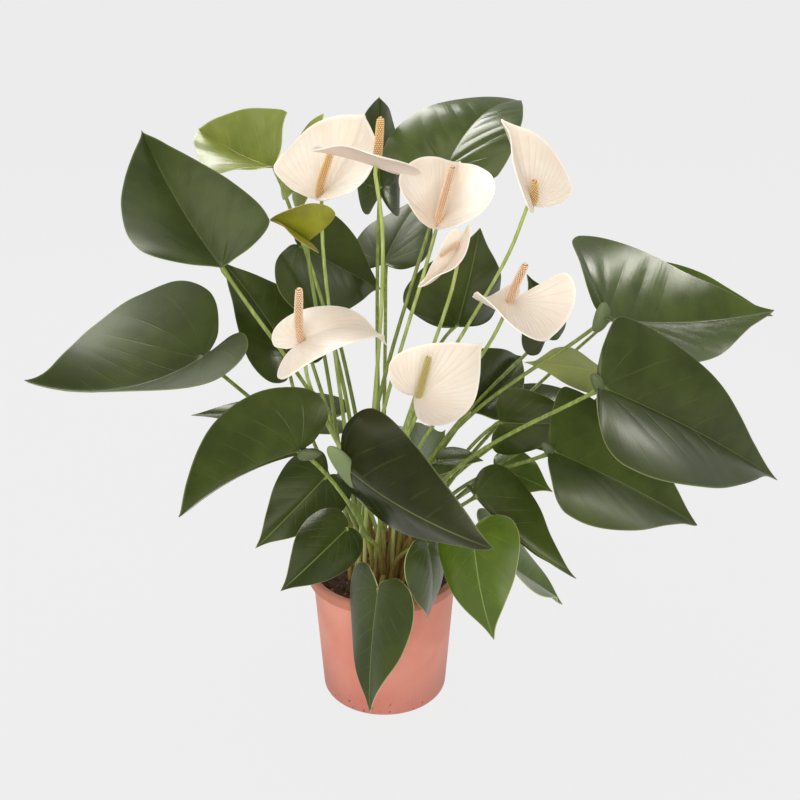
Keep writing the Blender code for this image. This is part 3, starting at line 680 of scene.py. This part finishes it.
# Every leaf that isn't dark
leafShades = {
    "mid": ("inner_right", "front_hanging", "front_small", "edge_on"),
    "bright": ("front_bright", "low_right_behind", "inner_green", "pale_striped"),
    "young": ("young_folded", "lime_top", "lime_behind", "pale_folded"),
}
leafBuild = {"largeOver": 0.06, "thickness": 0.0009, "spacing": 0.15, "quilt": 0.0004, "groove": 0.0006,
             "fanned": False, "wave": 0.0022, "waves": (4, 5, 6), "fullReliefFrom": 0.075, **plainTone}
leafMeshes = {"large": {"around": 73, "rings": 34}, "small": {"around": 53, "rings": 24}}
# What sets single leaves apart: quilting, roughness and looks of their own, and tone and hue that are painted
# light and shade, lighter on lit leaves and darker on shaded ones
leafOwnAndPaintedLight = {
    "right_upper": {"quilt": 0.0013, "tone": 1.55, "matte": 0.03},
    "back_top": {"quilt": 0.0012, "tone": 1.35},
    "right_middle": {"tone": 1.3, "matte": 0.18},
    "right_big": {"tone": 0.85, "matte": 0.1},
    "right_hidden": {"look": "mid", "tone": 1.6},
    "upper_left": {"matte": 0.05},
    "far_left": {"matte": 0.24},
    "middle_left": {"matte": 0.3},
    "back_centre": {"matte": 0.15},
    "front_centre": {"tone": 0.32, "hue": 0.485},
    "front_hanging": {"tone": 0.75},
    "low_left_front": {"look": "mid", "tone": 0.65},
    "low_left": {"look": "mid", "tone": 0.7, "matte": 0.1},
    "front_bright": {"tone": 0.8},
    "lime_top": {"tone": 0.85},
    "young_folded": {"look": "olive"},
}
# Basal lobes curled round the joint: offset from the joint, radii, tilt and tone; the tone is painted light
# and shade, lighter on lit curls and darker on shaded ones
leafEars = {
    "right_upper": ((-0.0085, -0.004, 0.001), (0.008, 0.0045, 0.0165), 12, 1.7),
    "right_big": ((-0.0075, -0.004, 0.006), (0.0055, 0.004, 0.0105), -22, 0.8),
    "right_middle": ((-0.007, -0.004, 0.004), (0.005, 0.0035, 0.009), -30, 0.9),
    "lower_left": ((0.008, -0.004, -0.002), (0.012, 0.004, 0.006), -8, 0.9),
    "front_centre": ((-0.0005, -0.006, 0.001), (0.009, 0.0035, 0.025), -30, 1.6),
}
earForm = {"around": 24, "rings": 16, "bulge": 0.25, "curl": 1.6, "across": 0.02}
anyPhase = (0, 6.3)


def earPiece(node, joint, offset, radii, tilt, tone, skin):
    bm = bmesh.new()
    bmesh.ops.create_uvsphere(bm, u_segments=earForm["around"], v_segments=earForm["rings"], radius=1.0)
    place = Vector(joint) + Vector(offset)
    turn = Matrix.Rotation(math.radians(tilt), 3, "Y")
    for vertex in bm.verts:
        spot = Vector([a * b for a, b in zip(vertex.co, radii)])
        spot.x += earForm["bulge"] * radii[0] * math.cos(earForm["curl"] * vertex.co.z)
        vertex.co = place + turn @ spot
    mesh = meshFrom(node, bm)
    mesh.shade_smooth()
    mark(mesh, vein=0.5, across=earForm["across"], share=0.5, **dict(plainTone, tone=tone))
    return newPiece(node + "_ear", mesh, [skin])


def leafSettings(name, blade):
    size = "large" if blade["halfWidth"] > leafBuild["largeOver"] else "small"
    looks = {**leafBuild, **leafMeshes[size], **leafOwnAndPaintedLight.get(name, {})}
    relief = min(1.0, blade["halfWidth"] / looks["fullReliefFrom"])
    looks["quilt"] *= relief
    blade["wave"] = looks["wave"] * relief
    return looks


def buildLeaf(name, row, shade):
    node = "leaf_" + name
    blade = readBlade(row, phase=dice.uniform(*anyPhase), waves=dice.choice(leafBuild["waves"]))
    looks = leafSettings(name, blade)
    sheet = thickened(node + "_blade", bladeMesh(node, blade, leafOutline, looks), looks["thickness"],
                      skins[looks.get("look", shade)])
    parts = [sheet, stemPiece(node + "_petiole", node, blade["joint"], "petiole")]
    if name in leafEars:
        parts.append(earPiece(node, blade["joint"], *leafEars[name], skins[shade][1]))
    settle(joined(parts, node + "_detailed"), "leaf_" + shade, node)


dice = random.Random(4)
shadeOf = {name: shade for shade, names in leafShades.items() for name in names}
for name, row in leafTable.items():
    buildLeaf(name, row, shadeOf.get(name, "dark"))
print("leaves made:", len(leafTable))


# Blooms: the rows read as the leaves' do
bloomTable = {
    "top_left": ((-0.065, 0.06, 0.56), (-0.02, 0.1, 0.635), 0.075, 20, -35, 40, 0.65, 1.0, -0.15),
    "edge": ((-0.005, -0.06, 0.62), (-0.065, -0.08, 0.64), 0.046, -45, 10, 20, 1.95, 0.0, 0.05),
    "top_middle": ((0.055, 0.01, 0.545), (0.08, 0.085, 0.59), 0.068, -5, -5, 60, 0.95, -0.2, -0.05),
    "top_right": ((0.15, 0.03, 0.56), (0.12, 0.055, 0.64), 0.051, -35, 5, 40, 0.4, 0.05, -0.05),
    "left": ((-0.075, -0.11, 0.465), (0.005, -0.08, 0.45), 0.054, 25, 80, 25, 1.15, -0.5, -0.2),
    "front": ((0.035, -0.12, 0.415), (0.095, -0.1, 0.46), 0.048, -55, 50, 5, 0.75, -0.4, -0.05),
    "right": ((0.125, -0.04, 0.48), (0.09, -0.085, 0.505), 0.042, -10, -65, 5, 2.4, 0.0, 0.45),
    "young": ((0.075, -0.03, 0.535), (0.035, -0.08, 0.51), 0.021, -10, -75, 55, 1.0, -0.05, 0.25),
}
bloomBuild = {"around": 65, "rings": 28, "spacing": 0.2, "quilt": 0.0005, "groove": 0.0004,
              "thickness": 0.0011, "wave": 0.0012, "waves": 5, "fanned": True, **plainTone}
# The bloom seen from below gets a darker, pinker tone and hue: painted shade on its underside
bloomPaintedShade = {"edge": {"tone": 0.88, "hue": 0.485}}
# The spathes' cream emission is painted light: a faint glow all over them, standing in for light shining
# through the spathes
spatheLook = {"cream": (0.82, 0.725, 0.61), "shade": (0.78, 0.655, 0.53), "vein": (0.7, 0.52, 0.39),
              "throat": (0.72, 0.66, 0.34), "rim": (0.95, 0.86, 0.72),
              "veinWidth": 0.16, "veinShow": 0.15, "throatShow": 0.6, "rimShow": 0.7, "streaks": 7,
              "patches": (28, 3, 0.5), "grain": (700, 2, 0.6), "relief": 0.0004,
              "surface": {"Roughness": 0.42, "Coat Weight": 0.12, "Coat Roughness": 0.35,
                          "Subsurface Weight": 0.3, "Subsurface Radius": (0.9, 0.5, 0.3),
                          "Subsurface Scale": 0.004, "Emission Color": (0.95, 0.8, 0.64),
                          "Emission Strength": 0.05}}
spadixBuild = {"radius": 0.0042, "floret": 0.00095, "flat": 0.75, "perTurn": 10.5, "step": 0.0019,
               "straight": 0.6, "cadSides": 9, "cadRings": 12, "points": 48, "short": 3,
               "coreFoot": 0.97, "coreTop": 0.58}
# The spadix's taper: share of its length, share of its radius. The last point only ends the curve.
spadixTaper = [(0.0, 0.92), (0.5, 0.9), (0.93, 0.74), (0.97, 0.6), (1.0, 0.18), (1.0, 1.0)]
spadixSlim = {"young": 0.6, "front": 0.9}
spadixTones = {"front": "green", "top_left": "yellow", "top_right": "yellow", "edge": "yellow"}
# Deep and light tones; the core, which shows between the florets, is painted darker as painted shade in the
# gaps
spadixTwoTones = {
    "peach": ((0.88, 0.62, 0.4), (0.93, 0.73, 0.52)),
    "yellow": ((0.84, 0.56, 0.23), (0.92, 0.68, 0.33)),
    "green": ((0.52, 0.47, 0.15), (0.68, 0.62, 0.25)),
    "core": ((0.38, 0.16, 0.06), (0.52, 0.24, 0.1)),
}
spadixLook = {"grain": (900, 2, 0.6), "relief": 0.0002,
              "surface": {"Roughness": 0.6, "Subsurface Weight": 0.1,
                          "Subsurface Radius": (0.8, 0.4, 0.2), "Subsurface Scale": 0.002}}


def spatheMaterial(look):
    shader = Shader("spatheCream")
    share = shader.value("share")
    veins = shader.veinMask(look["veinWidth"]) * share.fall(0.85, 1.0)
    patches = shader.noise(*look["patches"])
    grain = shader.noise(*look["grain"])
    colour = shader.mix(patches.rise(0.3, 0.7), look["cream"], look["shade"])
    colour = shader.laid(colour, look, vein=veins, throat=share.fall(0.03, 0.2), rim=share.rise(0.94, 1.0))
    # Tone and hue: painted shade, darker and pinker on the bloom whose underside is in shade
    colour = shader.toned(colour, Hue="hue", Value="tone")
    relief = veins * -0.4 + shader.veinStreaks(look["streaks"]) * 0.4 + grain * 0.1
    return shader.finish(colour, look, relief)


def spadixMaterial(tone):
    shader = Shader("spadix" + tone.capitalize())
    grain = shader.noise(*spadixLook["grain"])
    colour = shader.mix(grain.rise(0.35, 0.65), *spadixTwoTones[tone])
    return shader.finish(colour, spadixLook, grain)


def floretTree():
    # Sets florets in a spiral round a line: a lattice of small domes
    tree = Growth("florets", Florets="Int", Turn="Float", Radius="Float", Size="Float")
    count, size = tree.given("Florets"), tree.given("Size")
    line = tree.add("GeometryNodeCurveToPoints", {"mode": "COUNT"},
                    {"Curve": tree.given("Geometry"), "Count": count})
    index = tree.add("GeometryNodeInputIndex")
    taper = tree.add("ShaderNodeFloatCurve", {"heights": spadixTaper}, {"Value": index / count})
    swing = tree.add("FunctionNodeEulerToRotation", None, {0: tree.vector(Z=index * tree.given("Turn"))})
    facing = tree.add("FunctionNodeRotateRotation", {"rotation_space": "LOCAL"},
                      {"Rotation": line.other("Rotation"), "Rotate By": swing})
    out = tree.add("FunctionNodeRotateVector", None,
                   {"Vector": tree.vector(X=tree.given("Radius") * taper), "Rotation": facing})
    dome = tree.vector(X=size * spadixBuild["flat"], Y=size, Z=size)
    return tree.close(tree.realized(tree.copies(tree.moved(line, out), tree.ball(1), facing, dome)))


def straightened(line, share):
    # Draws a line towards the straight one between its ends
    last = len(line) - 1
    return [point.lerp(line[0].lerp(line[-1], k / last), share) for k, point in enumerate(line)]


def spadixLine(node, joint):
    centres = ringCentres(node, spadixBuild["cadSides"], spadixBuild["cadRings"], Vector(joint))
    line = straightened(smoothLine(centres, spadixBuild["points"]), spadixBuild["straight"])
    return line[:-spadixBuild["short"]]


def buildSpadix(node, skin, joint, slim):
    line = spadixLine(node, joint)
    radius = spadixBuild["radius"] * slim
    path = bpy.data.curves.new(node, "CURVE")
    path.dimensions = "3D"
    spline = path.splines.new("POLY")
    spline.points.add(len(line) - 1)
    for point, place in zip(spline.points, line):
        point.co = (*place, 1.0)
    rod = newPiece(node + "_line", path)
    perTurn = spadixBuild["perTurn"]
    grow(rod, florets, Florets=int(lineLength(line) / spadixBuild["step"] / slim * perTurn),
         Turn=2 * math.pi / perTurn, Radius=radius, Size=spadixBuild["floret"] * slim, Material=skin)
    mesh = bakedMesh(rod)
    bpy.data.objects.remove(rod)
    mesh.shade_smooth()
    core = stemMesh(node, line[:-1], radius * spadixBuild["coreFoot"], radius * spadixBuild["coreTop"])
    parts = [newPiece(node + "_cover", mesh), newPiece(node + "_core", core, [spadixSkins["core"]])]
    settle(joined(parts, node + "_detailed"), "spadix", node)


def buildBloom(name, row):
    node = "bloom_" + name
    looks = {**bloomBuild, **bloomPaintedShade.get(name, {})}
    blade = readBlade(row, wave=looks["wave"], waves=looks["waves"], phase=dice.uniform(*anyPhase))
    sheet = thickened(node + "_spathe_detailed", bladeMesh(node, blade, spatheOutline, looks),
                      looks["thickness"], [spatheSkin] * 3)
    settle(sheet, "spathe", node + "_spathe")
    stalk = stemPiece(node + "_stalk_detailed", node + "_stalk", blade["joint"], "stalk")
    settle(stalk, "stalk", node + "_stalk")
    buildSpadix(node + "_spadix", spadixSkins[spadixTones.get(name, "peach")], blade["joint"],
                spadixSlim.get(name, 1.0))


spadixSkins = {tone: spadixMaterial(tone) for tone in spadixTwoTones}
spatheSkin = spatheMaterial(spatheLook)
florets = floretTree()
for name, row in bloomTable.items():
    buildBloom(name, row)
print("blooms made:", len(bloomTable))


# Pot

pot = {"height": 0.155, "lip": 0.085, "lipHeight": 0.011, "lipStep": 0.003, "lipRound": 0.0015,
       "rimRound": 0.002, "top": 0.079, "base": 0.07, "corner": 0.008, "wall": 0.002, "floor": 0.0028,
       "fillet": 0.005, "draft": 0.0005, "pole": 0.0001, "segments": 128, "drains": 5,
       "drainRadius": 0.0045, "drainRing": 0.045, "drainSides": 24, "sharp": 40}
# The lip and foot colours are painted shade: darker copies of the one plastic, on the lip and towards the
# bottom
potLook = {"plastic": (0.64, 0.205, 0.135), "pale": (0.7, 0.27, 0.19), "dirt": (0.1, 0.05, 0.035),
           "dust": (0.55, 0.4, 0.35), "lip": (0.4, 0.14, 0.075), "foot": (0.42, 0.12, 0.085),
           "lipHeights": (0.1425, 0.145), "footHeights": (0.0, 0.08), "dirtHeights": (0.008, 0.03),
           "lipShow": 0.8, "footShow": 0.7, "dustShow": 0.25, "clouds": (14, 3, 0.5),
           "scuffs": (160, 3, 0.7, (1, 1, 0.35)), "specks": (240, 2, 0.5), "relief": 0.0002,
           "rough": (0.4, 0.55), "surface": {}}


def potMaterial(look):
    shader = Shader("potSalmon")
    height = shader.height()
    clouds, scuffs, specks = (shader.noise(*look[key]) for key in ("clouds", "scuffs", "specks"))
    colour = shader.mix(clouds.rise(0.35, 0.65), look["plastic"], look["pale"])
    # The lip and the foot are painted darker, as painted shade; dust and dirt specks are the pot's own
    colour = shader.laid(colour, look, lip=height.rise(*look["lipHeights"]),
                         foot=height.fall(*look["footHeights"]), dust=scuffs.rise(0.62, 0.78))
    colour = shader.mix(specks.rise(0.63, 0.68) * height.fall(*look["dirtHeights"]), colour, look["dirt"])
    return shader.finish(colour, look, scuffs * 0.4 + clouds * 0.2,
                         Roughness=shader.blend(scuffs, *look["rough"]))


def arc(across, up, radius, start, stop, steps):
    turns = [math.radians(start + (stop - start) * k / steps) for k in range(steps + 1)]
    return [(across + radius * math.cos(turn), up + radius * math.sin(turn)) for turn in turns]


def potProfile():
    # From the middle of the foot up the outside, over the lip and down the inside
    base, top, lip, height = (pot[key] for key in ("base", "top", "lip", "height"))
    corner, fillet, lipRound, rimRound = (pot[key] for key in ("corner", "fillet", "lipRound", "rimRound"))
    lipBase = height - pot["lipHeight"]
    wallTop = lipBase - pot["lipStep"]
    inner = base - pot["wall"]
    points = [(pot["pole"], 0.0)]
    points += arc(base - corner, corner, corner, -90, 0, 8)
    points += [(base + (top - base) * k / 8, corner + (wallTop - corner) * k / 8) for k in range(1, 9)]
    points += arc(lip - lipRound, lipBase + lipRound, lipRound, -90, 0, 5)
    points += arc(lip - rimRound, height - rimRound, rimRound, 0, 90, 6)
    points += arc(top - pot["draft"], height - lipRound, lipRound, 90, 180, 5)
    points += [(inner + pot["draft"], corner)]
    points += arc(inner - fillet, pot["floor"] + fillet, fillet, 0, -90, 6)
    return points + [(pot["pole"], pot["floor"])]


def drainMesh():
    bm = bmesh.new()
    for turn in fullTurn(pot["drains"]):
        hole = bmesh.ops.create_cone(bm, cap_ends=True, segments=pot["drainSides"],
                                     radius1=pot["drainRadius"], radius2=pot["drainRadius"],
                                     depth=4 * pot["floor"])
        place = (pot["drainRing"] * math.cos(turn), pot["drainRing"] * math.sin(turn), 0)
        bmesh.ops.translate(bm, verts=hole["verts"], vec=place)
    return meshFrom("drains", bm)


def buildPot():
    body = newPiece("pot_detailed", turnedMesh("pot", potProfile(), pot["segments"]), [potMaterial(potLook)])
    drains = newPiece("drains", drainMesh())
    cut = body.modifiers.new("drains", "BOOLEAN")
    cut.operation = "DIFFERENCE"
    cut.object = drains
    bpy.context.view_layer.update()
    plainMesh(body, pot["sharp"])
    bpy.data.objects.remove(drains)
    settle(body, "pot", "pot")


buildPot()
print("pot made")


# Soil

soil = {"top": 0.1385, "depth": 0.012, "rings": 26, "sectors": 96, "seed": 7, "pole": 0.0002,
        "wallGap": 0.0005, "draft": 0.001, "lumps": 40, "lumpHeights": (-0.0025, 0.003),
        "lumpSpread": 0.00012, "lumpFrom": 0.001, "bedTone": 0.15, "steepest": 0.5,
        "coverDepth": 0.008, "sharp": 35}
chip = {"density": 60000.0, "smallest": 0.0009, "largest": 0.0036, "mostlySmall": 2.5,
        "thinnest": (0.55, 0.35, 0.25), "thickest": (1.3, 0.8, 0.55), "lumps": 420.0, "rough": 0.0028}
soilLook = {"bits": [(0.0, (0.055, 0.026, 0.013)), (0.45, (0.115, 0.054, 0.027)),
                     (0.75, (0.22, 0.105, 0.055)), (0.92, (0.33, 0.175, 0.1)),
                     (1.0, (0.52, 0.39, 0.25))],
            "damp": (0.02, 0.011, 0.007), "dampShow": 0.4, "grain": (900, 4, 0.7), "relief": 0.0006,
            "surface": {"Roughness": 0.75}}


def soilMaterial(look):
    shader = Shader("soilPeat")
    colour = shader.add("ShaderNodeValToRGB", {"stops": look["bits"]}, {0: shader.value("bit")})
    grain = shader.noise(*look["grain"])
    colour = shader.laid(colour, look, damp=grain.rise(0.4, 0.7))
    return shader.finish(colour, look, grain)


def chipTree():
    # Scatters bark chips over a surface and roughens them
    tree = Growth("chips", Density="Float", Smallest="Float", Largest="Float", Seed="Int")
    dots = tree.add("GeometryNodeDistributePointsOnFaces", None,
                    {"Mesh": tree.given("Geometry"), "Density": tree.given("Density"),
                     "Seed": tree.given("Seed")})
    spin = tree.chance((0, 0, 0), (6.28, 6.28, 6.28), 3)
    shape = tree.chance(chip["thinnest"], chip["thickest"], 5)
    size = tree.add("ShaderNodeMapRange", None,
                    {"Value": tree.chance(0.0, 1.0, 8) ** chip["mostlySmall"],
                     "To Min": tree.given("Smallest"), "To Max": tree.given("Largest")})
    grown = tree.copies(dots, tree.ball(2), spin, tree.scaled(shape, size))
    marked = tree.add("GeometryNodeStoreNamedAttribute", {"data_type": "FLOAT", "domain": "INSTANCE"},
                      {"Geometry": grown, "Name": "bit", "Value": tree.chance(0.0, 1.0, 21)})
    wobble = tree.add("ShaderNodeTexNoise", None, {"Scale": chip["lumps"], "Detail": 2.0}, "Color")
    push = tree.add("ShaderNodeVectorMath", {"operation": "SUBTRACT"}, {0: wobble, 1: (0.5, 0.5, 0.5)})
    return tree.close(tree.moved(tree.realized(marked), tree.scaled(push, chip["rough"])))


def soilBed():
    # The bed under the chips: a shallow plug with a lumpy top
    bumps = random.Random(soil["seed"])
    top, pole = soil["top"], soil["pole"]
    edge = pot["base"] + (pot["top"] - pot["base"]) * top / pot["height"] - pot["wall"] - soil["wallGap"]
    lumps = [(bumps.uniform(-edge, edge), bumps.uniform(-edge, edge), bumps.uniform(*soil["lumpHeights"]))
             for _ in range(soil["lumps"])]
    profile = [(pole, top - soil["depth"]), (edge - soil["draft"], top - soil["depth"])]
    profile += [(edge * (1 - k / soil["rings"]) + pole, top) for k in range(soil["rings"] + 1)]
    mesh = turnedMesh("soilBed", profile, soil["sectors"])
    for vertex in mesh.vertices:
        x, y, z = vertex.co
        if z > top - soil["lumpFrom"]:
            vertex.co.z += sum(height * math.exp(-((x - a) ** 2 + (y - b) ** 2) / soil["lumpSpread"])
                               for a, b, height in lumps)
    return mesh


def soilTop(bed):
    # The bed's upper faces, which the chips lie on
    bm = bmesh.new()
    bm.from_mesh(bed)
    lowest = soil["top"] - soil["coverDepth"]
    others = [face for face in bm.faces
              if face.normal.z < soil["steepest"] or face.calc_center_median().z < lowest]
    bmesh.ops.delete(bm, geom=others, context="FACES")
    return meshFrom("soilTop", bm)


def buildSoil():
    skin = soilMaterial(soilLook)
    bed = newPiece("soil_bed", soilBed(), [skin])
    mark(bed.data, bit=soil["bedTone"])
    bed.data.shade_smooth()
    cover = newPiece("soil_cover", soilTop(bed.data))
    grow(cover, chipTree(), Density=chip["density"], Smallest=chip["smallest"], Largest=chip["largest"],
         Seed=soil["seed"], Material=skin)
    plainMesh(cover, soil["sharp"])
    settle(joined([bed, cover], "soil_detailed"), "soil", "soil")


buildSoil()
print("soil made")


# Studio

studio = {"floorSize": 40.0, "floorTones": ((0.024, 0.024, 0.024), (0.028, 0.028, 0.028)),
          "floorClouds": (3, 2, 0.5), "sky": (1.0, 1.0, 1.0), "skyPower": 0.35,
          "surface": {"Roughness": 0.9, "Specular IOR Level": 0.0, "Emission Color": (0.9, 0.9, 0.9),
                      "Emission Strength": 0.92}}
# Lamps: place, aim, size and power
lamps = {
    "backSoftbox": ((-0.6, 1.6, 1.75), (0.05, 0.1, 0.5), (1.1, 0.7), 22),
    "rightSoftbox": ((1.35, 0.73, 1.09), (0.2, -0.1, 0.45), (0.22, 0.22), 3.5),
    "leftSoftbox": ((-1.4, 0.15, 1.5), (0.0, 0.0, 0.45), (1.0, 1.0), 4),
    "topSoftbox": ((-0.3, -0.3, 2.4), (0.0, 0.0, 0.3), (1.4, 1.4), 11),
    "frontFill": ((-0.2, -2.6, 1.1), (0.0, 0.0, 0.35), (2.8, 1.8), 58),
}
view = {"place": (0.0175, -1.25, 0.91), "down": 23.9, "lens": 58.5, "sensor": 36.0}


def buildStudio():
    half = studio["floorSize"] / 2
    mesh = bpy.data.meshes.new("floor")
    mesh.from_pydata([(-half, -half, 0), (half, -half, 0), (half, half, 0), (-half, half, 0)], [],
                     [(0, 1, 2, 3)])
    shader = Shader("floorPale")
    tone = shader.mix(shader.noise(*studio["floorClouds"]), *studio["floorTones"])
    newPiece("floor", mesh, [shader.finish(tone, studio)])
    world = bpy.data.worlds.new("studio")
    world.use_nodes = True
    sky = world.node_tree.nodes["Background"].inputs
    sky["Color"].default_value = (*studio["sky"], 1.0)
    sky["Strength"].default_value = studio["skyPower"]
    bpy.context.scene.world = world


def buildLamps():
    for name, (place, target, size, power) in lamps.items():
        light = bpy.data.lights.new(name, "AREA")
        light.shape = "RECTANGLE"
        light.size, light.size_y = size
        light.energy = power
        lamp = newPiece(name, light)
        lamp.location = place
        lamp.rotation_euler = (Vector(target) - Vector(place)).to_track_quat("-Z", "Y").to_euler()


def buildCamera():
    lens = bpy.data.cameras.new("camera")
    lens.lens = view["lens"]
    lens.sensor_width = view["sensor"]
    camera = newPiece("camera", lens)
    camera.location = view["place"]
    camera.rotation_euler = (math.radians(90 - view["down"]), 0, 0)
    bpy.context.scene.camera = camera


buildStudio()
buildLamps()
buildCamera()
bpy.context.scene.view_settings.view_transform = "Standard"
print("studio made")
